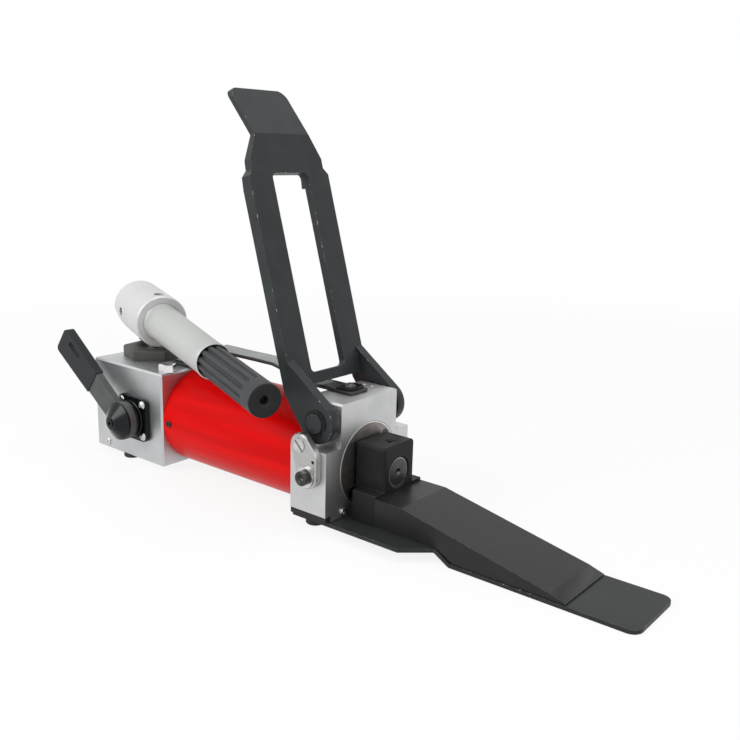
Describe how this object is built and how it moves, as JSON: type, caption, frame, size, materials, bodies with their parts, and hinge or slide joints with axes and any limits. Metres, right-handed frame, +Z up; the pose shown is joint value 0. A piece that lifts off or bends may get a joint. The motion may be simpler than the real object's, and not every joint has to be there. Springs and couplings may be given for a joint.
{
  "type": "hydraulic wedge jack",
  "caption": "Portable hydraulic wedge jack with its own hand pump, swing jaw, sliding wedge, release lever and carrying strap.",
  "frame": {"origin": "middle of the toe's flat underside, on the floor and in the middle plane", "axes": "+X forward along the cylinder, from the pump block to the toe's tip; +Y to the left; +Z up"},
  "size_m": [0.5586, 0.1432, 0.3257],
  "materials": {
    "front_aluminium": "satin",
    "pump_aluminium": "satin",
    "red_paint": "gloss",
    "charcoal_paint": "satin",
    "ground_steel": "polished",
    "machined_steel": "satin",
    "zinc_steel": "satin",
    "dark_oxide": "satin",
    "handle_silver": "satin",
    "grip_rubber": "matte",
    "seal_rubber": "matte",
    "strap_black": "satin",
    "lever_plastic": "satin",
    "black_plastic": "gloss"
  },
  "bodies": {
    "frame": {"front_block": "front_aluminium", "pump_block": "pump_aluminium", "reservoir_tube": "red_paint", "tube_end_ring": "red_paint", "cylinder_barrel": "machined_steel", "gland_ring": "machined_steel", "rod_seal": "seal_rubber", "rod_wiper": "seal_rubber", "edge_strips": "seal_rubber", "face_screws": "zinc_steel", "gland_screws": "zinc_steel", "base_plate": "charcoal_paint", "base_screws": "zinc_steel", "front_feet": "grip_rubber", "rear_feet": "grip_rubber", "jaw_pin_right": "dark_oxide", "jaw_pin_left": "dark_oxide", "jaw_clips": "dark_oxide", "latch_washer": "zinc_steel", "latch_screw": "zinc_steel", "carry_strap": "strap_black", "strap_clamps": "strap_black", "strap_screws": "zinc_steel", "pump_turret": "dark_oxide", "plunger_seal": "seal_rubber", "pump_barrel": "machined_steel", "pivot_post": "dark_oxide", "valve_flange": "black_plastic", "flange_screws": "zinc_steel", "valve_collar": "black_plastic", "filler_plug": "ground_steel", "side_plug": "zinc_steel", "bleed_screw": "zinc_steel"},
    "ram": {"piston": "machined_steel", "piston_seal": "seal_rubber", "piston_rod": "ground_steel", "yoke": "dark_oxide", "yoke_screw": "dark_oxide", "wedge": "dark_oxide", "wedge_screws": "zinc_steel"},
    "jaw": {"upper_jaw": "charcoal_paint", "jaw_washers": "zinc_steel"},
    "handle": {"handle_head": "handle_silver", "head_screw": "dark_oxide", "handle_pivot_pin": "zinc_steel", "handle_tube": "handle_silver", "handle_core": "machined_steel", "handle_grip": "grip_rubber"},
    "plunger": {"pump_plunger": "ground_steel", "plunger_pin": "zinc_steel"},
    "release": {"release_lever": "lever_plastic", "lever_grip": "lever_plastic", "valve_stem": "machined_steel", "valve_knob": "black_plastic", "knob_screw": "zinc_steel"},
    "latch": {"latch_plate": "machined_steel", "latch_stud": "zinc_steel"}
  },
  "joints": [
    {"name": "ram_slide", "type": "slide", "parent": "frame", "child": "ram", "axis": [1, 0, 0], "range_m": [0, 0.05]},
    {"name": "jaw_hinge", "type": "hinge", "parent": "frame", "child": "jaw", "pos_m": [-0.18305, 0, 0.0845], "axis": [0, 1, 0], "range_deg": [0, 129]},
    {"name": "handle_hinge", "type": "hinge", "parent": "frame", "child": "handle", "pos_m": [-0.45015, 0.00818, 0.1279], "axis": [-0.3338, -0.9426, 0], "range_deg": [0, 35]},
    {"name": "plunger_slide", "type": "slide", "parent": "frame", "child": "plunger", "axis": [0, 0, 1], "range_m": [0, 0.015]},
    {"name": "release_hinge", "type": "hinge", "parent": "frame", "child": "release", "pos_m": [-0.40005, -0.06, 0.0435], "axis": [0, -1, 0], "range_deg": [0, 45]},
    {"name": "latch_hinge", "type": "hinge", "parent": "frame", "child": "latch", "pos_m": [-0.18135, -0.053, 0.046], "axis": [0, -1, 0], "range_deg": [0, 90]}
  ],
  "couplings": [
    {"joint": "plunger_slide", "follows": "handle_hinge", "m_per_rad": 0.0245}
  ]
}
